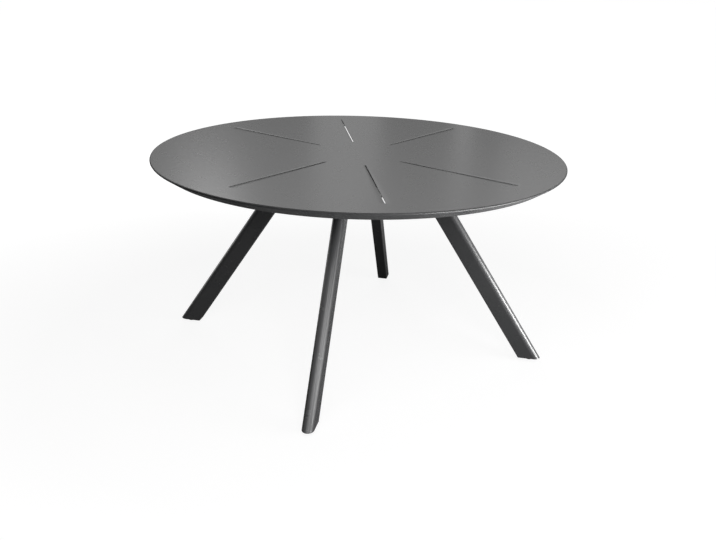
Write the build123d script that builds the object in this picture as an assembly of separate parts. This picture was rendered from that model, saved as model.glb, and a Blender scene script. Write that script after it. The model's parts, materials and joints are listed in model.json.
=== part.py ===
from build123d import *
import os
from math import asin, atan2, cos, degrees, hypot, sin, tan

# Round garden table: a formed sheet top on a tube frame, four splayed D-section legs and screw feet

# Overall sizes, in millimetres
TABLE_HEIGHT = 755.0
TOP_DIAMETER = 1500.0

# Formed sheet top: flat disc, rounded edge, skirt that slopes inwards, hem
SHEET = 2.0
TOP_DEPTH = 31.0
EDGE_RADIUS = 4.0
SKIRT_INSET = 38.0
HEM_WIDTH = 12.0

# Drain slots: direction from the front (-Y) line, towards +X
SLOT_WIDTH = 4.0
SLOT_INNER_RADIUS = 190.0
SLOT_OUTER_RADIUS = 650.0
SLOT_DIRECTIONS = (0.0, 45.0, 135.0, 180.0, 225.0, 315.0)

# Frame under the sheet: crossed box beams inside a flat bar that is rolled into a ring
FRAME_HEIGHT = 20.0
FRAME_WALL = 2.0
RING_MEAN_RADIUS = 552.5
RING_WIDTH = 25.0
RING_THICKNESS = 5.0
BEAM_WIDTH = 60.0
WELD_GAP = 0.1
BEAM_END_GAP = 0.4

# Legs: D-section tube with its round side outwards
LEG_DEPTH = 70.0
LEG_THICKNESS = 42.0
LEG_WALL = 3.0
LEG_CORNER_RADIUS = 3.0
LEG_FOOT_RADIUS = 692.0
LEG_TOP_RADIUS = 214.0
LEG_TURN = -18.5
LEG_NAMES = ("front", "right", "back", "left")

# Plates on the legs' upper ends and their bolts
PLATE_THICKNESS = 5.0
PLATE_LENGTH = 150.0
PLATE_WIDTH = 64.0
PLATE_CORNER_RADIUS = 10.0
BOLT_SPACING_ALONG = 120.0
BOLT_SPACING_ACROSS = 36.0
BOLT_DIAMETER = 8.0
BOLT_HEAD_DIAMETER = 14.0
BOLT_HEAD_HEIGHT = 4.4
BOLT_SOCKET_WIDTH = 5.0
BOLT_SOCKET_DEPTH = 2.6
BOLT_ENGAGEMENT = 12.0
BOLT_HOLE_CLEARANCE = 0.5
BOLT_WASHER_DIAMETER = 16.0
BOLT_WASHER_THICKNESS = 1.6
BUSH_DIAMETER = 14.0

# Weld studs that hold the sheet down on the ring
STUD_COUNT = 8
STUD_FIRST_DIRECTION = 22.5
STUD_DIAMETER = 6.0
STUD_END_LENGTH = 1.0
STUD_HOLE_CLEARANCE = 0.3
STUD_WASHER_DIAMETER = 12.0
STUD_WASHER_THICKNESS = 1.6
STUD_NUT_WIDTH = 10.0
STUD_NUT_HEIGHT = 5.0

# Feet: plugs in the legs' lower ends, and screw levellers that swivel in their pads
PAD_HEIGHT = 6.0
PAD_DIAMETER = 26.0
PAD_TOP_DIAMETER = 18.0
PAD_BASE_HEIGHT = 3.5
PAD_EDGE_RADIUS = 1.2
PAD_FLOOR_THICKNESS = 2.5
CAP_HEIGHT = 18.0
CAP_FIT = 0.15
SCREW_DIAMETER = 8.0
SCREW_LENGTH = 40.0
SCREW_TIP_CHAMFER = 1.0
SCREW_END_GAP = 0.3
SCREW_FIT = 0.05
FOOT_NUT_WIDTH = 13.0
FOOT_NUT_HEIGHT = 6.5

# Heights and radii that follow from the sizes above
TOP_RADIUS = TOP_DIAMETER / 2
SHEET_UNDERSIDE = TABLE_HEIGHT - SHEET
FRAME_UNDERSIDE = SHEET_UNDERSIDE - FRAME_HEIGHT
PLATE_UNDERSIDE = FRAME_UNDERSIDE - PLATE_THICKNESS
RING_UNDERSIDE = SHEET_UNDERSIDE - RING_THICKNESS
RING_INNER_RADIUS = RING_MEAN_RADIUS - RING_WIDTH / 2
RING_OUTER_RADIUS = RING_MEAN_RADIUS + RING_WIDTH / 2
LEG_CUT_HEIGHT = PAD_HEIGHT
LEG_RISE = PLATE_UNDERSIDE - LEG_CUT_HEIGHT
LEG_LEAN = atan2(LEG_FOOT_RADIUS - LEG_TOP_RADIUS, LEG_RISE)
SCREW_BOTTOM = PAD_FLOOR_THICKNESS + SCREW_END_GAP


def around(direction):
    """Turn from the +X line to a direction that is counted from the front line."""
    return Rot(0, 0, direction - 90)


def leg_direction(index):
    return LEG_TURN + 90 * index


def upright(radius, low, high, x=0.0, y=0.0):
    """Upright cylinder between two heights."""
    return Pos(x, y, low) * Cylinder(radius, high - low, align=(Align.CENTER, Align.CENTER, Align.MIN))


def hexagon(width, low, high, x=0.0, y=0.0):
    """Upright hexagon prism, measured across its flats."""
    return Pos(x, y, low) * extrude(RegularPolygon(width / 2, 6, major_radius=False), high - low)


def level_slab(low, high, half_width):
    """Wide block between two heights, which cuts a leaning prism level at both ends."""
    return Pos(0, 0, (low + high) / 2) * Box(2 * half_width, 2 * half_width, high - low)


def edge_tangent(thickness):
    """Where the sheet's rounded edge runs into the skirt, and the skirt's slope.

    The edge is an arc about a fixed centre. The skirt is the tangent to it from the skirt's lower corner."""
    centre_r = TOP_RADIUS - EDGE_RADIUS
    centre_z = TABLE_HEIGHT - EDGE_RADIUS
    low_r = TOP_RADIUS - SKIRT_INSET
    low_z = TABLE_HEIGHT - TOP_DEPTH
    reach = hypot(centre_r - low_r, centre_z - low_z)
    slope = atan2(centre_z - low_z, centre_r - low_r) - asin(EDGE_RADIUS / reach)
    radius = EDGE_RADIUS - thickness
    tangent = (centre_r + radius * sin(slope), centre_z - radius * cos(slope))
    bulge_angle = slope / 2
    middle = (centre_r + radius * cos(bulge_angle), centre_z + radius * sin(bulge_angle))
    start = (centre_r, centre_z + radius)
    return start, middle, tangent, slope


def make_table_top():
    """Sheet profile spun about the table's axis, with the drain slots cut through it."""
    out_start, out_middle, out_end, slope = edge_tangent(0.0)
    in_start, in_middle, in_end, _ = edge_tangent(SHEET)
    hem_z = TABLE_HEIGHT - TOP_DEPTH
    low_r = TOP_RADIUS - SKIRT_INSET
    hem_r = low_r - HEM_WIDTH
    inner_corner = (in_end[0] - (in_end[1] - hem_z - SHEET) / tan(slope), hem_z + SHEET)
    profile = [
        Line((0, TABLE_HEIGHT), out_start),
        ThreePointArc(out_start, out_middle, out_end),
        Line(out_end, (low_r, hem_z)),
        Line((low_r, hem_z), (hem_r, hem_z)),
        Line((hem_r, hem_z), (hem_r, hem_z + SHEET)),
        Line((hem_r, hem_z + SHEET), inner_corner),
        Line(inner_corner, in_end),
        ThreePointArc(in_end, in_middle, in_start),
        Line(in_start, (0, SHEET_UNDERSIDE)),
        Line((0, SHEET_UNDERSIDE), (0, TABLE_HEIGHT)),
    ]
    top = revolve(Plane.XZ * make_face(profile), Axis.Z)
    slot_length = SLOT_OUTER_RADIUS - SLOT_INNER_RADIUS
    slot_middle = (SLOT_OUTER_RADIUS + SLOT_INNER_RADIUS) / 2
    slot = Pos(slot_middle, 0, SHEET_UNDERSIDE) * extrude(SlotOverall(slot_length, SLOT_WIDTH), SHEET)
    for direction in SLOT_DIRECTIONS:
        top -= around(direction) * slot
    return top


def stud_places():
    return [STUD_FIRST_DIRECTION + index * 360 / STUD_COUNT for index in range(STUD_COUNT)]


def make_support_ring():
    """Flat bar rolled into a ring that lies against the sheet, drilled for the weld studs."""
    ring = upright(RING_OUTER_RADIUS, RING_UNDERSIDE, SHEET_UNDERSIDE)
    ring -= upright(RING_INNER_RADIUS, RING_UNDERSIDE, SHEET_UNDERSIDE)
    hole_radius = STUD_DIAMETER / 2 + STUD_HOLE_CLEARANCE
    hole = upright(hole_radius, RING_UNDERSIDE, SHEET_UNDERSIDE, RING_MEAN_RADIUS)
    for direction in stud_places():
        ring -= around(direction) * hole
    return ring


def bolt_places():
    """Bolt centres on one leg's line, as (along, across)."""
    along = BOLT_SPACING_ALONG / 2
    across = BOLT_SPACING_ACROSS / 2
    return [(LEG_TOP_RADIUS + a, b) for a in (-along, along) for b in (-across, across)]


def make_beam(start, end):
    """Box tube along +X, open at its ends, with bush holes in its underside wherever it passes a leg."""
    length = end - start
    middle = Pos((start + end) / 2, 0, FRAME_UNDERSIDE + FRAME_HEIGHT / 2)
    beam = middle * Box(length, BEAM_WIDTH, FRAME_HEIGHT)
    beam -= middle * Box(length, BEAM_WIDTH - 2 * FRAME_WALL, FRAME_HEIGHT - 2 * FRAME_WALL)
    hole_radius = BUSH_DIAMETER / 2 + WELD_GAP
    for x, y in bolt_places():
        for side in (1, -1):
            if start < side * x < end:
                beam -= upright(hole_radius, FRAME_UNDERSIDE, FRAME_UNDERSIDE + FRAME_WALL, side * x, y)
    return beam & upright(RING_INNER_RADIUS - BEAM_END_GAP, FRAME_UNDERSIDE, SHEET_UNDERSIDE)


def leg_section(inset):
    """D outline: flat inner face, flat sides, half-round outer face, drawn in by an inset."""
    depth = LEG_DEPTH - 2 * inset
    thickness = LEG_THICKNESS - 2 * inset
    straight = depth - thickness / 2
    block = Pos(-depth / 2 + straight / 2, 0) * Rectangle(straight, thickness)
    corners = block.vertices().group_by(Axis.X)[0]
    block = fillet(corners, max(LEG_CORNER_RADIUS - inset, LEG_CORNER_RADIUS / 4))
    return block + Pos(depth / 2 - thickness / 2, 0) * Circle(thickness / 2)


def leaning_prism(inset, low, high):
    """The leg's outline carried along its leaning axis and cut level at two heights."""
    axis = Vector(-sin(LEG_LEAN), 0, cos(LEG_LEAN))
    outwards = Vector(cos(LEG_LEAN), 0, sin(LEG_LEAN))
    foot = Vector(LEG_FOOT_RADIUS, 0, LEG_CUT_HEIGHT)
    spare = LEG_DEPTH * 2
    start = Plane(origin=foot - axis * spare, x_dir=outwards, z_dir=axis)
    length = LEG_RISE / cos(LEG_LEAN) + 2 * spare
    prism = extrude(start * leg_section(inset), length)
    return prism & level_slab(low, high, LEG_FOOT_RADIUS + length)


def make_leg():
    """Hollow leg, from its level foot to its plate."""
    leg = leaning_prism(0, LEG_CUT_HEIGHT, PLATE_UNDERSIDE)
    return leg - leaning_prism(LEG_WALL, LEG_CUT_HEIGHT, PLATE_UNDERSIDE)


def make_leg_plate():
    """Round-cornered plate over the leg's upper end, drilled for its bolts."""
    outline = RectangleRounded(PLATE_LENGTH, PLATE_WIDTH, PLATE_CORNER_RADIUS)
    plate = Pos(LEG_TOP_RADIUS, 0, PLATE_UNDERSIDE) * extrude(outline, PLATE_THICKNESS)
    hole_radius = BOLT_DIAMETER / 2 + BOLT_HOLE_CLEARANCE
    for x, y in bolt_places():
        plate -= upright(hole_radius, PLATE_UNDERSIDE, FRAME_UNDERSIDE, x, y)
    return plate


def make_bush():
    """Threaded bush between the beam's walls, open downwards."""
    bush_top = SHEET_UNDERSIDE - FRAME_WALL
    bush = upright(BUSH_DIAMETER / 2, FRAME_UNDERSIDE, bush_top)
    return bush - upright(BOLT_DIAMETER / 2 + SCREW_FIT, FRAME_UNDERSIDE, bush_top)


def make_bolt_washer():
    low = PLATE_UNDERSIDE - BOLT_WASHER_THICKNESS
    washer = upright(BOLT_WASHER_DIAMETER / 2, low, PLATE_UNDERSIDE)
    return washer - upright(BOLT_DIAMETER / 2 + BOLT_HOLE_CLEARANCE, low, PLATE_UNDERSIDE)


def make_bolt():
    """Button-head socket screw that goes up through the washer and plate into its bush."""
    head_top = PLATE_UNDERSIDE - BOLT_WASHER_THICKNESS
    head_bottom = head_top - BOLT_HEAD_HEIGHT
    head = upright(BOLT_HEAD_DIAMETER / 2, head_bottom, head_top)
    head = fillet(head.edges().group_by(Axis.Z)[0], BOLT_HEAD_HEIGHT / 2)
    head -= hexagon(BOLT_SOCKET_WIDTH, head_bottom, head_bottom + BOLT_SOCKET_DEPTH)
    return head + upright(BOLT_DIAMETER / 2, head_top, FRAME_UNDERSIDE + BOLT_ENGAGEMENT)


def make_top_stud():
    """Weld stud from the sheet's underside down through the ring, its washer and its nut."""
    nut_bottom = RING_UNDERSIDE - STUD_WASHER_THICKNESS - STUD_NUT_HEIGHT
    return upright(STUD_DIAMETER / 2, nut_bottom - STUD_END_LENGTH, SHEET_UNDERSIDE)


def make_stud_washer():
    low = RING_UNDERSIDE - STUD_WASHER_THICKNESS
    washer = upright(STUD_WASHER_DIAMETER / 2, low, RING_UNDERSIDE)
    return washer - upright(STUD_DIAMETER / 2 + STUD_HOLE_CLEARANCE, low, RING_UNDERSIDE)


def make_stud_nut():
    high = RING_UNDERSIDE - STUD_WASHER_THICKNESS
    low = high - STUD_NUT_HEIGHT
    return hexagon(STUD_NUT_WIDTH, low, high) - upright(STUD_DIAMETER / 2 + SCREW_FIT, low, high)


def make_end_cap():
    """Plastic plug that fills the leg's lower end, with a pocket for its nut and a hole for the screw."""
    cap_top = LEG_CUT_HEIGHT + CAP_HEIGHT
    cap = leaning_prism(LEG_WALL + CAP_FIT, LEG_CUT_HEIGHT, cap_top)
    cap -= upright(SCREW_DIAMETER / 2 + SCREW_FIT, LEG_CUT_HEIGHT, cap_top, LEG_FOOT_RADIUS)
    return cap - hexagon(FOOT_NUT_WIDTH, cap_top - FOOT_NUT_HEIGHT, cap_top, LEG_FOOT_RADIUS)


def make_foot_nut():
    cap_top = LEG_CUT_HEIGHT + CAP_HEIGHT
    low = cap_top - FOOT_NUT_HEIGHT
    nut = hexagon(FOOT_NUT_WIDTH - 2 * CAP_FIT, low, cap_top, LEG_FOOT_RADIUS)
    return nut - upright(SCREW_DIAMETER / 2 + SCREW_FIT, low, cap_top, LEG_FOOT_RADIUS)


def make_leveller_pad():
    """Turned pad: a round-edged base under a cone, with a blind socket for the screw's end."""
    base = upright(PAD_DIAMETER / 2, 0, PAD_BASE_HEIGHT)
    base = fillet(base.edges().group_by(Axis.Z)[0], PAD_EDGE_RADIUS)
    cone_height = PAD_HEIGHT - PAD_BASE_HEIGHT
    cone = Pos(0, 0, PAD_BASE_HEIGHT) * Cone(
        PAD_DIAMETER / 2, PAD_TOP_DIAMETER / 2, cone_height, align=(Align.CENTER, Align.CENTER, Align.MIN)
    )
    pad = base + cone - upright(SCREW_DIAMETER / 2 + SCREW_FIT, PAD_FLOOR_THICKNESS, PAD_HEIGHT)
    return Pos(LEG_FOOT_RADIUS, 0, 0) * pad


def make_leveller_stud():
    """Screw from the pad's socket up through the cap and its nut into the hollow leg."""
    screw = upright(SCREW_DIAMETER / 2, SCREW_BOTTOM, SCREW_BOTTOM + SCREW_LENGTH)
    screw = chamfer(screw.edges().group_by(Axis.Z)[-1], SCREW_TIP_CHAMFER)
    return Pos(LEG_FOOT_RADIUS, 0, 0) * screw


def bolted(piece):
    """One copy of a piece at every bolt of every leg."""
    turns = [around(leg_direction(index)) for index in range(len(LEG_NAMES))]
    return [turn * Pos(x, y, 0) * piece for turn in turns for x, y in bolt_places()]


def studded(piece):
    """One copy of a piece at every weld stud."""
    return [around(direction) * Pos(RING_MEAN_RADIUS, 0, 0) * piece for direction in stud_places()]


def build():
    """Every node of the table, by name."""
    half_start = BEAM_WIDTH / 2
    nodes = {
        "table_top": make_table_top(),
        "support_ring": make_support_ring(),
        "beam_long": around(leg_direction(0)) * make_beam(-RING_INNER_RADIUS, RING_INNER_RADIUS),
        "beam_half_right": around(leg_direction(1)) * make_beam(half_start, RING_INNER_RADIUS),
        "beam_half_left": around(leg_direction(3)) * make_beam(half_start, RING_INNER_RADIUS),
        "threaded_bushes": Compound(children=bolted(make_bush())),
        "leg_washers": Compound(children=bolted(make_bolt_washer())),
        "leg_bolts": Compound(children=bolted(make_bolt())),
        "top_studs": Compound(children=studded(make_top_stud())),
        "stud_washers": Compound(children=studded(make_stud_washer())),
        "stud_nuts": Compound(children=studded(make_stud_nut())),
    }
    leg_pieces = {
        "leg": make_leg(),
        "leg_plate": make_leg_plate(),
        "end_cap": make_end_cap(),
        "leveller_pad": make_leveller_pad(),
        "leveller_stud": make_leveller_stud(),
    }
    foot_nut = make_foot_nut()
    nodes["foot_nuts"] = Compound(
        children=[around(leg_direction(i)) * foot_nut for i in range(len(LEG_NAMES))]
    )
    for index, leg_name in enumerate(LEG_NAMES):
        for piece_name, piece in leg_pieces.items():
            nodes[f"{piece_name}_{leg_name}"] = around(leg_direction(index)) * piece
    return nodes


os.makedirs("parts", exist_ok=True)
for name, shape in build().items():
    export_step(shape, f"parts/{name}.step")
    print(name, round(shape.volume), "mm3")
print("leg lean", round(degrees(LEG_LEAN), 2), "degrees")
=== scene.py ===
import json
from math import asin, atan2, cos, hypot, pi, radians, sin, tan

import bpy
import numpy as np
from mathutils import Matrix, Vector


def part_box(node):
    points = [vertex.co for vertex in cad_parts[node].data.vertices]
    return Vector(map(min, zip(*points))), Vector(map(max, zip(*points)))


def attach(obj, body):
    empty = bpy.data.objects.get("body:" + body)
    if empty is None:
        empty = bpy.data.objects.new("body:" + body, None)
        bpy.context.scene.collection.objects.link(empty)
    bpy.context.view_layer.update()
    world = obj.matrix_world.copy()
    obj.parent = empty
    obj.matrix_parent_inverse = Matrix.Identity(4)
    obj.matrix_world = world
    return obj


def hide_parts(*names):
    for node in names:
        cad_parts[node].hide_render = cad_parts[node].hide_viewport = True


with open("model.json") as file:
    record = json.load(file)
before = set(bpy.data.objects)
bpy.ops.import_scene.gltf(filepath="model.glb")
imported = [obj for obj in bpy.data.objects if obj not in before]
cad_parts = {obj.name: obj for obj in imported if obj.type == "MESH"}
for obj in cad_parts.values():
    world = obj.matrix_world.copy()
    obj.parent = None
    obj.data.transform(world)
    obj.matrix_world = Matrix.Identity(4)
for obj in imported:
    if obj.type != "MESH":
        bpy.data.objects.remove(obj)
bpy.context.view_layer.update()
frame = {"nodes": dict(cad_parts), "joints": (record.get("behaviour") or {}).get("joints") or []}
nodes = frame["nodes"]


# Frame under the sheet
# A hoop of flat aluminium bar and crossed box tubes, coated in one satin graphite powder paint. It
# lies flat against the sheet and can be seen only from below and through the slots.

COAT_DARK = (0.054, 0.0545, 0.056, 1.0)
COAT_PALE = (0.062, 0.0625, 0.064, 1.0)
COAT_ROUGHNESS = (0.265, 0.275)
COAT_SPECULAR = 0.42
PATCHES_PER_METRE = 7.0
CLOUDS_PER_METRE = 24.0
SWELLS_PER_METRE = 120.0
SWELL_HEIGHT = 0.0002
SWELL_STRENGTH = 0.004
PEBBLES_PER_METRE = 1400.0
PEBBLE_HEIGHT = 0.0001
PEBBLE_STRENGTH = 0.012
SOFT_DETAIL = 2.0
FINE_DETAIL = 3.0
NOISE_MIDDLE = (0.3, 0.7)
WHOLE_RANGE = (0.0, 1.0)


def new_finish(name):
    """A finish to be filled in, as its material, its nodes' tree and its shader."""
    material = bpy.data.materials.new(name)
    material.use_nodes = True
    tree = material.node_tree
    return material, tree, tree.nodes["Principled BSDF"]


def noise(tree, per_metre, detail):
    """Noise over the piece's own metres, so many lumps to the metre, with finer lumps added by detail."""
    place = tree.nodes.new("ShaderNodeTexCoord").outputs["Object"]
    texture = tree.nodes.new("ShaderNodeTexNoise")
    texture.inputs["Scale"].default_value = per_metre
    texture.inputs["Detail"].default_value = detail
    tree.links.new(place, texture.inputs["Vector"])
    return texture.outputs["Fac"]


def map_value(tree, value, from_range, to_range):
    """A value carried in proportion from one range to another, with both ends held."""
    node = tree.nodes.new("ShaderNodeMapRange")
    sockets = ("From Min", "From Max", "To Min", "To Max")
    for socket, number in zip(sockets, (*from_range, *to_range)):
        node.inputs[socket].default_value = number
    tree.links.new(value, node.inputs["Value"])
    return node.outputs["Result"]


def bump(tree, height, distance, strength, under=None):
    """The surface's normal, or the one under it, tilted by the slope of a height."""
    node = tree.nodes.new("ShaderNodeBump")
    node.inputs["Distance"].default_value = distance
    node.inputs["Strength"].default_value = strength
    tree.links.new(height, node.inputs["Height"])
    if under is not None:
        tree.links.new(under, node.inputs["Normal"])
    return node.outputs["Normal"]


def graphite_coat(name):
    """Powder paint: a fine pebbled skin over a slow orange-peel swell, both at their real size.

    The colour and the roughness drift a little from place to place, as sprayed powder does."""
    material, tree, shader = new_finish(name)
    drift = tree.nodes.new("ShaderNodeMix")
    drift.data_type = "RGBA"
    drift.inputs["A"].default_value = COAT_DARK
    drift.inputs["B"].default_value = COAT_PALE
    patches = map_value(tree, noise(tree, PATCHES_PER_METRE, FINE_DETAIL), NOISE_MIDDLE, WHOLE_RANGE)
    tree.links.new(patches, drift.inputs["Factor"])
    tree.links.new(drift.outputs["Result"], shader.inputs["Base Color"])
    clouds = map_value(tree, noise(tree, CLOUDS_PER_METRE, FINE_DETAIL), NOISE_MIDDLE, COAT_ROUGHNESS)
    tree.links.new(clouds, shader.inputs["Roughness"])
    swell = bump(tree, noise(tree, SWELLS_PER_METRE, SOFT_DETAIL), SWELL_HEIGHT, SWELL_STRENGTH)
    pebble = bump(tree, noise(tree, PEBBLES_PER_METRE, FINE_DETAIL), PEBBLE_HEIGHT, PEBBLE_STRENGTH, swell)
    tree.links.new(pebble, shader.inputs["Normal"])
    shader.inputs["Specular IOR Level"].default_value = COAT_SPECULAR
    return material


def dress(piece, material):
    """One finish over the whole of a piece."""
    piece.data.materials.clear()
    piece.data.materials.append(material)


coat = graphite_coat("graphite_coat")
for node_name in ("support_ring", "beam_long", "beam_half_left", "beam_half_right"):
    dress(nodes[node_name], coat)


# Table top
# One aluminium sheet: a flat disc whose edge is turned over a tight radius into a skirt that slopes
# in underneath and ends in a narrow hem. Six radial drain slots are cut through it before coating.

SHEET_THICKNESS = 0.002
EDGE_RADIUS = 0.004
SKIRT_INSET = 0.038
HEM_WIDTH = 0.012
HEM_BEND_RADIUS = 0.002
SLOT_HALF_WIDTH = 0.002
SLOT_INNER_END = 0.190
SLOT_OUTER_END = 0.650
SPOKES = 8
UNCUT_SPOKES = (2, 6)
RADII_INSIDE_SLOTS = (0.012, 0.035, 0.07, 0.11, 0.15, 0.184)
RADII_OUTSIDE_SLOTS = (0.656, 0.68, 0.705, 0.725, 0.738, 0.744)
ROWS_ALONG_SLOTS = 20
EDGE_ROWS = 14
SKIRT_ROWS = 6
STRIP_COLUMNS = 9
SECTOR_COLUMNS = 24
SPOKE_COLUMNS = STRIP_COLUMNS + SECTOR_COLUMNS
BROAD_FACE_WEIGHT = 90


def mesh_piece(name, points, faces, material):
    """A finished piece at the origin, with its place in its mesh and smooth faces."""
    mesh = bpy.data.meshes.new(name)
    mesh.from_pydata(np.asarray(points).reshape(-1, 3).tolist(), [], faces)
    mesh.polygons.foreach_set("use_smooth", np.ones(len(mesh.polygons), dtype=bool))
    mesh.update()
    piece = bpy.data.objects.new(name, mesh)
    bpy.context.scene.collection.objects.link(piece)
    dress(piece, material)
    return piece


def grid_faces(rows, columns, close_rows=False):
    """Quads between neighbouring points of a grid, row by row, whose columns run round in a ring.

    Where the rows are closed too, the last row joins the first."""
    i, j = np.indices((rows if close_rows else rows - 1, columns))
    i_next = (i + 1) % rows
    j_next = (j + 1) % columns
    corners = ((i, j), (i_next, j), (i_next, j_next), (i, j_next))
    return np.stack([row * columns + column for row, column in corners], -1)


def even_normals(piece):
    """Corner normals weighted by face area, so that broad faces stay flat beside small bends."""
    piece.modifiers.new("even_normals", "WEIGHTED_NORMAL").weight = BROAD_FACE_WEIGHT


def arc_points(centre, radius, start, end, steps):
    """Points on an arc in a plane, with the angle counted from the plane's first direction."""
    angle = np.linspace(start, end, steps)
    return np.stack([centre[0] + radius * np.cos(angle), centre[1] + radius * np.sin(angle)], -1)


def top_profile():
    """Outer skin of the sheet as (r, z) points from near the centre to the end of the hem.

    Flat, then the edge's arc down to the skirt's tangent, the skirt, the hem's bend and the hem.
    Also gives the rows of the slots' two ends."""
    low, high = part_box("table_top")
    edge_centre = (high.x - EDGE_RADIUS, high.z - EDGE_RADIUS)
    corner = (high.x - SKIRT_INSET, low.z)
    run = edge_centre[0] - corner[0]
    rise = edge_centre[1] - corner[1]
    slope = atan2(rise, run) - asin(EDGE_RADIUS / hypot(run, rise))
    slot_start = SLOT_INNER_END + SLOT_HALF_WIDTH
    slot_stop = SLOT_OUTER_END - SLOT_HALF_WIDTH
    along_slots = np.linspace(slot_start, slot_stop, ROWS_ALONG_SLOTS)
    flat_radii = np.concatenate([RADII_INSIDE_SLOTS, along_slots, RADII_OUTSIDE_SLOTS])
    flat = np.stack([flat_radii, np.full_like(flat_radii, high.z)], -1)
    edge = arc_points(edge_centre, EDGE_RADIUS, pi / 2, slope - pi / 2, EDGE_ROWS)
    bend_cut = HEM_BEND_RADIUS * tan(slope / 2)
    skirt_end = np.array(corner) + bend_cut * np.array([cos(slope), sin(slope)])
    share = np.linspace(0, 1, SKIRT_ROWS + 1)[1:, None]
    skirt = edge[-1] + share * (skirt_end - edge[-1])
    hem_radii = corner[0] - np.array([bend_cut, HEM_WIDTH / 2, HEM_WIDTH])
    hem = np.stack([hem_radii, np.full_like(hem_radii, low.z)], -1)
    first_slot_row = len(RADII_INSIDE_SLOTS)
    slot_rows = (first_slot_row, first_slot_row + ROWS_ALONG_SLOTS - 1)
    return np.concatenate([flat, edge, skirt, hem]), slot_rows


def sheet_skin():
    """Points of the skin as a grid: profile rows, and columns that keep the slots' sides parallel.

    Round each spoke runs a strip as wide as a slot, and between strips a sector. In a strip the two
    rows at the slot's ends bow out into half circles, and the faces between them are left out."""
    profile, slot_rows = top_profile()
    across = -SLOT_HALF_WIDTH * np.cos(np.linspace(0, pi, STRIP_COLUMNS))
    bow = np.sqrt(np.maximum(SLOT_HALF_WIDTH ** 2 - across ** 2, 0))
    share = np.linspace(0, 1, SECTOR_COLUMNS + 2)[1:-1]
    radii = profile[:, :1]
    half = np.arcsin(SLOT_HALF_WIDTH / radii)
    spoke_step = 2 * pi / SPOKES
    radius_blocks = []
    angle_blocks = []
    for spoke in range(SPOKES):
        direction = spoke * spoke_step
        strip_radii = np.repeat(radii, STRIP_COLUMNS, axis=1)
        if spoke not in UNCUT_SPOKES:
            strip_radii[slot_rows[0]] -= bow
            strip_radii[slot_rows[1]] += bow
        radius_blocks += [strip_radii, np.repeat(radii, SECTOR_COLUMNS, axis=1)]
        angle_blocks.append(direction + np.arcsin(across / strip_radii))
        angle_blocks.append(direction + half + share * (spoke_step - 2 * half))
    radius = np.concatenate(radius_blocks, axis=1)
    angle = np.concatenate(angle_blocks, axis=1)
    height = np.repeat(profile[:, 1:], radius.shape[1], axis=1)
    points = np.stack([radius * np.sin(angle), -radius * np.cos(angle), height], -1).reshape(-1, 3)
    quads = grid_faces(*radius.shape)
    i, j = np.indices(quads.shape[:2])
    in_strip = j % SPOKE_COLUMNS < STRIP_COLUMNS - 1
    cut_spoke = ~np.isin(j // SPOKE_COLUMNS, UNCUT_SPOKES)
    in_slot = in_strip & cut_spoke & (i >= slot_rows[0]) & (i < slot_rows[1])
    centre = np.array([[0.0, 0.0, profile[0, 1]]])
    first_ring = np.arange(radius.shape[1])
    hub = np.stack([np.full_like(first_ring, len(points)), first_ring, np.roll(first_ring, -1)], -1)
    return np.concatenate([points, centre]), quads[~in_slot].tolist() + hub.tolist()


top = mesh_piece("sheet_top", *sheet_skin(), coat)
wall = top.modifiers.new("sheet_thickness", "SOLIDIFY")
wall.thickness = SHEET_THICKNESS
wall.offset = -1.0
wall.use_even_offset = True
even_normals(top)
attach(top, "table")
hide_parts("table_top")


# Legs
# Four straight aluminium tubes of D section, round side outwards, flat side towards the middle of the
# table. Both ends are cut level, the upper one is welded to a plate and the lower one takes a plug.

LEG_NAMES = ("front", "right", "back", "left")
LEG_DEPTH = 0.070
LEG_THICKNESS = 0.042
LEG_WALL = 0.003
LEG_CORNER_RADIUS = 0.003
LEG_BORE_CORNER_RADIUS = 0.00075
LEG_EDGE_BREAK = 0.0005
LEG_FOOT_RADIUS = 0.692
LEG_TOP_RADIUS = 0.214
LEG_TURN = radians(-18.5)
NOSE_POINTS = 41
CORNER_POINTS = 9
leg_low, leg_high = (corner.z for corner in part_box("leg_front"))
leg_slope = (LEG_FOOT_RADIUS - LEG_TOP_RADIUS) / (leg_high - leg_low)


def d_outline(inset):
    """Closed D outline as (outwards, sideways) points, drawn in by an inset.

    Half circle on the outside, straight sides, then two rounded corners and the flat inner face."""
    half = LEG_THICKNESS / 2 - inset
    inner = -LEG_DEPTH / 2 + inset
    corner = max(LEG_CORNER_RADIUS - inset, LEG_BORE_CORNER_RADIUS)
    round_middle = LEG_DEPTH / 2 - LEG_THICKNESS / 2
    nose = arc_points((round_middle, 0), half, -pi / 2, pi / 2, NOSE_POINTS)
    left = arc_points((inner + corner, half - corner), corner, pi / 2, pi, CORNER_POINTS)
    right = arc_points((inner + corner, corner - half), corner, pi, 3 * pi / 2, CORNER_POINTS)
    return np.concatenate([nose, left, right])


def on_leg(index, outwards, sideways, height):
    """Place on a leg: a line parallel to its leaning axis, met at a height.

    outwards is square to the axis in the leg's upright plane, sideways is level."""
    turn = LEG_TURN + index * pi / 2
    lean = hypot(leg_slope, 1.0)
    radius = LEG_FOOT_RADIUS + outwards * lean - leg_slope * (height - leg_low)
    x = radius * sin(turn) + sideways * cos(turn)
    y = -radius * cos(turn) + sideways * sin(turn)
    return np.stack([x, y, np.broadcast_to(height, x.shape)], -1)


def leg_skin(index):
    """Closed tube: rows up the outside, over the upper end, down the inside and back under the foot."""
    above_break = leg_low + LEG_EDGE_BREAK
    inset_and_height = (
        (LEG_EDGE_BREAK, leg_low),
        (0.0, above_break),
        (0.0, leg_high),
        (LEG_WALL, leg_high),
        (LEG_WALL, above_break),
        (LEG_WALL - LEG_EDGE_BREAK, leg_low),
    )
    points = np.stack([on_leg(index, *d_outline(inset).T, height) for inset, height in inset_and_height])
    quads = grid_faces(*points.shape[:2], close_rows=True).reshape(-1, 4)
    return points, quads[:, ::-1].tolist()


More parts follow.
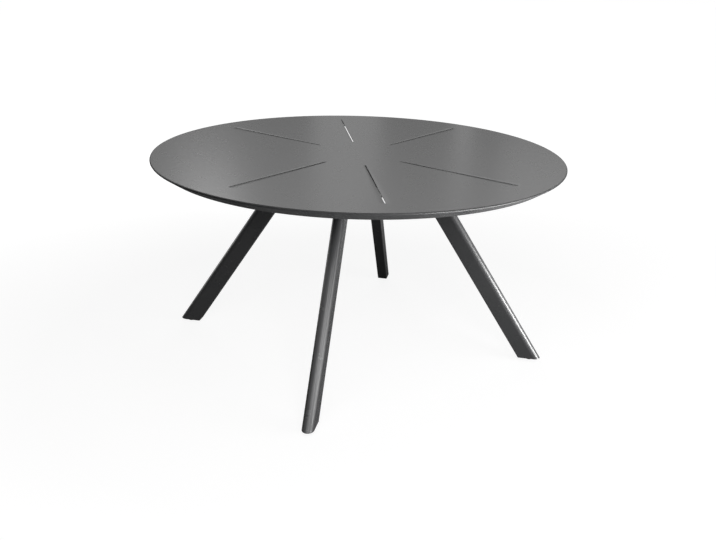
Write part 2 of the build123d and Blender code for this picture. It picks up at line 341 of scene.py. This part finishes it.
legs = []
for index, leg_name in enumerate(LEG_NAMES):
    leg = mesh_piece(f"d_leg_{leg_name}", *leg_skin(index), coat)
    even_normals(leg)
    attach(leg, "table")
    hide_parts(f"leg_{leg_name}")
    legs.append(leg)


# Leg plates and their welds
# A flat plate closes each leg's upper end and bolts up against a beam. A fillet weld runs round the
# leg below the plate, laid as overlapping ripples, and is coated along with both.

WELD_LEG = 0.0045
WELD_ROOT = 0.0008
WELD_FACE_POWER = 1.6
WELD_RIPPLE = 0.00035
WELD_RIPPLE_LENGTH = 0.0024
WELD_STEPS_ALONG = 480
WELD_STEPS_ACROSS = 7


def weld_bead(index):
    """Closed bead round a leg: a fillet's section carried round the D outline, swelling with each ripple.

    The face goes from the plate to the leg as a cosine and a sine to one power, where 1 would be a
    round face and 2 a flat one, and the root lies inside the metal."""
    outline = d_outline(0.0)
    outline = np.concatenate([outline, outline[:1]])
    step = np.linalg.norm(np.diff(outline, axis=0), axis=1)
    travel = np.concatenate([[0], np.cumsum(step)])
    along = np.linspace(0, travel[-1], WELD_STEPS_ALONG, endpoint=False)
    path = np.stack([np.interp(along, travel, side) for side in outline.T], -1)
    ahead = np.roll(path, -1, axis=0) - np.roll(path, 1, axis=0)
    ahead /= np.linalg.norm(ahead, axis=1)[:, None]
    away = np.stack([ahead[:, 1], -ahead[:, 0]], -1)
    ripple = WELD_RIPPLE * np.abs(np.sin(pi * along / WELD_RIPPLE_LENGTH))
    size = WELD_LEG + ripple[:, None]
    turn = np.linspace(0, pi / 2, WELD_STEPS_ACROSS)
    root = np.full((WELD_STEPS_ALONG, 1), -WELD_ROOT)
    reach = np.concatenate([size * np.cos(turn) ** WELD_FACE_POWER, root], axis=1)
    drop = np.concatenate([size * np.sin(turn) ** WELD_FACE_POWER, root], axis=1)
    place = path[:, None, :] + reach[..., None] * away[:, None, :]
    points = on_leg(index, place[..., 0], place[..., 1], leg_high - drop)
    quads = grid_faces(*points.shape[:2], close_rows=True).reshape(-1, 4)
    return points, quads[:, ::-1].tolist()


for index, leg_name in enumerate(LEG_NAMES):
    dress(nodes[f"leg_plate_{leg_name}"], coat)
    bead = mesh_piece(f"leg_weld_{leg_name}", *weld_bead(index), coat)
    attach(bead, "table")


# Fasteners
# Zinc-plated steel: button-head screws and washers under the leg plates, bushes inside the beams,
# weld studs, washers and nuts under the ring, and the nuts moulded into the feet.

ZINC_COLOUR = (0.46, 0.47, 0.48, 1.0)
ZINC_ROUGHNESS = (0.28, 0.5)
ZINC_CLOUDS_PER_METRE = 420.0
ZINC_CLOUD_DETAIL = 4.0
FASTENER_NODES = (
    "threaded_bushes", "leg_washers", "leg_bolts", "top_studs", "stud_washers", "stud_nuts", "foot_nuts"
)


def zinc_plate(name):
    """Plated steel: bright metal whose roughness is clouded by the bath."""
    material, tree, shader = new_finish(name)
    shader.inputs["Base Color"].default_value = ZINC_COLOUR
    shader.inputs["Metallic"].default_value = 1.0
    clouds = noise(tree, ZINC_CLOUDS_PER_METRE, ZINC_CLOUD_DETAIL)
    tree.links.new(map_value(tree, clouds, WHOLE_RANGE, ZINC_ROUGHNESS), shader.inputs["Roughness"])
    return material


zinc = zinc_plate("zinc_plate")
for node_name in FASTENER_NODES:
    dress(nodes[node_name], zinc)


# Feet
# A black moulded plug fills each leg's lower end. A levelling screw runs up through it, and its lower
# end turns in a round black pad that stands on the floor.

PLASTIC_COLOUR = (0.012, 0.012, 0.013, 1.0)
PLASTIC_ROUGHNESS = (0.5, 0.7)
PLASTIC_SPECULAR = 0.35
GRAINS_PER_METRE = 2200.0
GRAIN_HEIGHT = 0.00008
GRAIN_STRENGTH = 0.5
SCREW_RADIUS = 0.00395
SCREW_PITCH = 0.00125
SCREW_THREAD_DEPTH = 0.0007
SCREW_CHAMFER = 0.001
SCREW_COLUMNS = 24
SCREW_ROWS_PER_TURN = 8


def moulded_plastic(name):
    """Black plastic with the fine spark-eroded grain of its mould."""
    material, tree, shader = new_finish(name)
    shader.inputs["Base Color"].default_value = PLASTIC_COLOUR
    shader.inputs["Specular IOR Level"].default_value = PLASTIC_SPECULAR
    grain = noise(tree, GRAINS_PER_METRE, SOFT_DETAIL)
    tree.links.new(map_value(tree, grain, WHOLE_RANGE, PLASTIC_ROUGHNESS), shader.inputs["Roughness"])
    tree.links.new(bump(tree, grain, GRAIN_HEIGHT, GRAIN_STRENGTH), shader.inputs["Normal"])
    return material


def screw_skin(leg_name):
    """Threaded rod: the radius falls from crest to root and back once a pitch, along a helix.

    Both ends are bevelled: there the radius is no more than the end's own plus the way from the end."""
    low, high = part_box(f"leveller_stud_{leg_name}")
    centre = (low + high) / 2
    rows = int((high.z - low.z) / SCREW_PITCH * SCREW_ROWS_PER_TURN)
    height = np.linspace(low.z, high.z, rows)[:, None]
    angle = np.linspace(0, 2 * pi, SCREW_COLUMNS, endpoint=False)[None, :]
    phase = height / SCREW_PITCH - angle / (2 * pi)
    depth = SCREW_THREAD_DEPTH * (1 + np.cos(2 * pi * phase)) / 2
    from_end = np.minimum(height - low.z, high.z - height)
    radius = np.minimum(SCREW_RADIUS - depth, SCREW_RADIUS - SCREW_CHAMFER + from_end)
    x = centre.x + radius * np.cos(angle)
    y = centre.y + radius * np.sin(angle)
    points = np.stack([x, y, np.broadcast_to(height, x.shape)], -1)
    quads = grid_faces(rows, SCREW_COLUMNS).reshape(-1, 4)[:, ::-1]
    bottom = np.arange(SCREW_COLUMNS)[::-1]
    upper_end = np.arange(SCREW_COLUMNS) + (rows - 1) * SCREW_COLUMNS
    return points, quads.tolist() + [bottom.tolist(), upper_end.tolist()]


plastic = moulded_plastic("moulded_plastic")
for leg_name in LEG_NAMES:
    dress(nodes[f"end_cap_{leg_name}"], plastic)
    dress(nodes[f"leveller_pad_{leg_name}"], plastic)
    screw = mesh_piece(f"levelling_screw_{leg_name}", *screw_skin(leg_name), zinc)
    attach(screw, f"screw_{leg_name}")
    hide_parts(f"leveller_stud_{leg_name}")


# Floor and background
# A plain white studio. The pale matt floor keeps the table's faint shadow, and it lies where the pads
# reach when they are screwed right out, so that they never sink into it.

FLOOR_SIZE = 60.0
FLOOR_LEVEL = -max(joint["range_m"][1] for joint in frame["joints"] if joint["type"] == "slide")
FLOOR_COLOUR = (0.25, 0.25, 0.25, 1.0)
FLOOR_GLOW_REACH = (1.2, 3.5)
FLOOR_GLOW = (0.865, 1.0)
# The floor's glow that only gloss sees is a painted reflection, rising from none on the left to a quarter
# of white on the right
FLOOR_PAINTED_REFLECTION_REACH = (0.25, 0.9)
FLOOR_PAINTED_REFLECTION = (0.0, 0.25)
FLOOR_SCATTERED = 0.0
WHITE = (1.0, 1.0, 1.0, 1.0)
SKY_SEEN = 1.0
SKY_MIRRORED_RISE = (0.08, 0.28)
SKY_MIRRORED = (0.0, 0.755)
SKY_SCATTERED = 0.03


def combine(tree, operation, first, second):
    """Two values joined by one operation, where either may be a plain number."""
    node = tree.nodes.new("ShaderNodeMath")
    node.operation = operation
    for socket, value in zip(node.inputs, (first, second)):
        if isinstance(value, float):
            socket.default_value = value
        else:
            tree.links.new(value, socket)
    return node.outputs["Value"]


def by_ray(tree, seen, mirrored, scattered):
    """One brightness where it is seen, also through glass, one in gloss and one for scattered light.

    Each is multiplied by whether the ray is of its kind, and the three are added up."""
    path = tree.nodes.new("ShaderNodeLightPath").outputs
    direct = combine(tree, "MAXIMUM", path["Is Camera Ray"], path["Is Transmission Ray"])
    gloss = path["Is Glossy Ray"]
    other = combine(tree, "SUBTRACT", 1.0, combine(tree, "MAXIMUM", direct, gloss))
    from_direct = combine(tree, "MULTIPLY", direct, seen)
    from_gloss = combine(tree, "MULTIPLY", gloss, mirrored)
    from_other = combine(tree, "MULTIPLY", other, scattered)
    return combine(tree, "ADD", combine(tree, "ADD", from_direct, from_gloss), from_other)


def white_world():
    """White where it is seen, greyer towards the horizon in gloss, dim where it only scatters light."""
    world = bpy.data.worlds.new("studio")
    bpy.context.scene.world = world
    world.use_nodes = True
    tree = world.node_tree
    background = tree.nodes["Background"]
    background.inputs["Color"].default_value = WHITE
    split = tree.nodes.new("ShaderNodeSeparateXYZ")
    tree.links.new(tree.nodes.new("ShaderNodeTexCoord").outputs["Generated"], split.inputs["Vector"])
    mirrored = map_value(tree, split.outputs["Z"], SKY_MIRRORED_RISE, SKY_MIRRORED)
    tree.links.new(by_ray(tree, SKY_SEEN, mirrored, SKY_SCATTERED), background.inputs["Strength"])


def floor_white(name):
    """Matt grey whose glow to the camera brings it up to white, a little less near the table.

    Seen only in gloss it glows as a painted reflection, brighter towards the right. From below it is
    clear."""
    material = bpy.data.materials.new(name)
    material.use_nodes = True
    tree = material.node_tree
    tree.nodes.clear()
    matt = tree.nodes.new("ShaderNodeBsdfDiffuse")
    matt.inputs["Color"].default_value = FLOOR_COLOUR
    place = tree.nodes.new("ShaderNodeTexCoord").outputs["Object"]
    reach = tree.nodes.new("ShaderNodeVectorMath")
    reach.operation = "LENGTH"
    tree.links.new(place, reach.inputs[0])
    seen = map_value(tree, reach.outputs["Value"], FLOOR_GLOW_REACH, FLOOR_GLOW)
    split = tree.nodes.new("ShaderNodeSeparateXYZ")
    tree.links.new(place, split.inputs["Vector"])
    # Painted reflection: a glow that only gloss sees, rising from left to right across the floor
    mirrored = map_value(tree, split.outputs["X"], FLOOR_PAINTED_REFLECTION_REACH, FLOOR_PAINTED_REFLECTION)
    glow = tree.nodes.new("ShaderNodeEmission")
    tree.links.new(by_ray(tree, seen, mirrored, FLOOR_SCATTERED), glow.inputs["Strength"])
    both = tree.nodes.new("ShaderNodeAddShader")
    tree.links.new(matt.outputs["BSDF"], both.inputs[0])
    tree.links.new(glow.outputs["Emission"], both.inputs[1])
    one_way = tree.nodes.new("ShaderNodeMixShader")
    tree.links.new(tree.nodes.new("ShaderNodeNewGeometry").outputs["Backfacing"], one_way.inputs["Fac"])
    tree.links.new(both.outputs["Shader"], one_way.inputs[1])
    tree.links.new(tree.nodes.new("ShaderNodeBsdfTransparent").outputs["BSDF"], one_way.inputs[2])
    output = tree.nodes.new("ShaderNodeOutputMaterial")
    tree.links.new(one_way.outputs["Shader"], output.inputs["Surface"])
    return material


def studio_floor():
    """Level square round the table's middle."""
    half = FLOOR_SIZE / 2
    corners = ((-half, -half), (half, -half), (half, half), (-half, half))
    mesh = bpy.data.meshes.new("floor")
    mesh.from_pydata([(x, y, FLOOR_LEVEL) for x, y in corners], [], [(0, 1, 2, 3)])
    sheet = bpy.data.objects.new("floor", mesh)
    bpy.context.scene.collection.objects.link(sheet)
    dress(sheet, floor_white("floor_white"))
    return sheet


white_world()
floor = studio_floor()


# Light
# Soft lamps above, in front and on the right, low ones behind, and dim tall windows behind that the
# top mirrors. Some are kept to the legs or to the top, so that no other piece mirrors them as a glare.

TABLE_MIDDLE = (0.0, 0.0, 0.45)
FRONT_LEG_FOOT = (-0.2, -0.6, 0.1)
BEHIND_MIDDLE = (0.0, 0.2, 0.35)
WINDOWS_FACE = (-0.37, -2.9)
# Name, place on the ground, width, sill, head and power of each window
WINDOWS = (
    ("window_left", (-0.82, 4.09), 0.50, 2.15, 3.6, 4.4),
    ("window_middle", (0.40, 4.06), 0.60, 0.9, 3.4, 1.25),
    ("window_slim", (1.40, 3.88), 0.14, 0.9, 3.4, 0.40),
    ("window_right", (2.12, 3.65), 0.85, 1.6, 3.4, 1.75),
)


def group(name, things):
    """The pieces that a lamp is kept to."""
    kept = bpy.data.collections.new(name)
    for thing in things:
        kept.objects.link(thing)
    return kept


def soft_light(name, place, aim, width, height, power, lit=None):
    """Rectangular lamp at a place, facing a point, in metres and watts.

    Where a group of pieces is given, it lights only those."""
    lamp = bpy.data.lights.new(name, "AREA")
    lamp.shape = "RECTANGLE"
    lamp.size = width
    lamp.size_y = height
    lamp.energy = power
    light = bpy.data.objects.new(name, lamp)
    light.location = place
    light.rotation_euler = (Vector(aim) - Vector(place)).to_track_quat("-Z", "Y").to_euler()
    light.visible_camera = False
    light.light_linking.receiver_collection = lit
    bpy.context.scene.collection.objects.link(light)


front_leg, right_leg, back_leg = legs[:3]
solid_things = [thing for thing in bpy.context.scene.objects if thing.type == "MESH"]
top_only = group("top_only", [top])
legs_and_floor = group("legs_and_floor", [*legs, floor])
near_pieces = group("near_pieces", [thing for thing in solid_things if thing not in (top, back_leg)])
front_leg_only = group("front_leg_only", [front_leg])
right_leg_only = group("right_leg_only", [right_leg])

# Name, place, aim, width, height and power of each lamp, and the pieces that it is kept to
soft_light("above", (1.08, -1.87, 3.26), TABLE_MIDDLE, 1.2, 1.2, 9.0)
soft_light("front", (0.0, -3.09, 2.14), TABLE_MIDDLE, 1.2, 1.2, 33.0, lit=near_pieces)
soft_light("front_left", (-1.39, -2.98, 1.70), TABLE_MIDDLE, 1.6, 1.2, 18.0, lit=near_pieces)
soft_light("front_right", (1.36, -2.7, 1.6), (-0.19, -0.58, 0.15), 1.2, 0.9, 27.0, lit=front_leg_only)
soft_light("right_front", (1.95, -2.3, 0.72), FRONT_LEG_FOOT, 0.8, 0.4, 12.0, lit=front_leg_only)
soft_light("right", (2.54, -1.59, 0.8), (0.2, -0.2, 0.4), 2.2, 0.5, 31.0, lit=near_pieces)
soft_light("right_spot", (2.75, -1.20, 0.72), (0.5, -0.2, 0.25), 0.9, 0.8, 76.0, lit=right_leg_only)
soft_light("right_side", (2.90, 0.10, 0.60), (0.45, -0.15, 0.3), 2.2, 0.5, 7.0, lit=right_leg_only)
soft_light("right_low", (2.0, -0.9, 0.12), (0.3, -0.3, 0.7), 1.4, 0.4, 10.0)
soft_light("reflector", (1.4, -1.3, 0.02), (1.4, -1.3, 2.0), 1.0, 1.4, 26.0)
soft_light("edge", (1.6, -2.6, 0.45), (0.2, -0.6, 0.74), 1.6, 0.5, 64.0, lit=top_only)
soft_light("edge_right", (2.54, -1.59, 0.45), (0.4, -0.3, 0.74), 2.2, 0.5, 52.0, lit=top_only)
soft_light("back_low", (-0.1, 3.4, 0.40), BEHIND_MIDDLE, 2.2, 0.6, 24.0, lit=legs_and_floor)
soft_light("back_left_low", (-2.6, 2.2, 0.40), BEHIND_MIDDLE, 2.0, 0.6, 8.0, lit=legs_and_floor)
soft_light("behind", (0.6, 4.2, 2.9), (0.0, -0.3, 0.755), 5.0, 1.2, 12.0)
for name, place, width, sill, head, power in WINDOWS:
    middle = (sill + head) / 2
    soft_light(name, (*place, middle), (*WINDOWS_FACE, middle), width, head - sill, power)


# Camera
# It stands in front of the table, a little to the left and about twice as high, and looks down across
# the top. Its place, turn and lens are fitted to the outlines of the top, the slots and the legs.

CAMERA_DIRECTION = radians(-7.21)
CAMERA_DISTANCE = 2.920
CAMERA_HEIGHT = 1.4255
CAMERA_HEADING = radians(-7.39)
CAMERA_PITCH = radians(21.35)
CAMERA_ROLL = radians(1.66)
CAMERA_LENS = 40.43
CAMERA_SENSOR = 36.0
CAMERA_FAR_END = 200.0
PHOTO_WIDTH = 716
PIXELS_SHIFTED_UP = 2

lens = bpy.data.cameras.new("photo_camera")
lens.sensor_width = CAMERA_SENSOR
lens.sensor_fit = "HORIZONTAL"
lens.lens = CAMERA_LENS
lens.shift_y = PIXELS_SHIFTED_UP / PHOTO_WIDTH
lens.clip_end = CAMERA_FAR_END
camera = bpy.data.objects.new("photo_camera", lens)
stand_x = CAMERA_DISTANCE * sin(CAMERA_DIRECTION)
stand_y = -CAMERA_DISTANCE * cos(CAMERA_DIRECTION)
stand = Matrix.Translation((stand_x, stand_y, CAMERA_HEIGHT))
turn = Matrix.Rotation(CAMERA_HEADING, 4, "Z") @ Matrix.Rotation(pi / 2 - CAMERA_PITCH, 4, "X")
camera.matrix_world = stand @ turn @ Matrix.Rotation(CAMERA_ROLL, 4, "Z")
bpy.context.scene.collection.objects.link(camera)
bpy.context.scene.camera = camera
bpy.context.scene.view_settings.view_transform = "Standard"
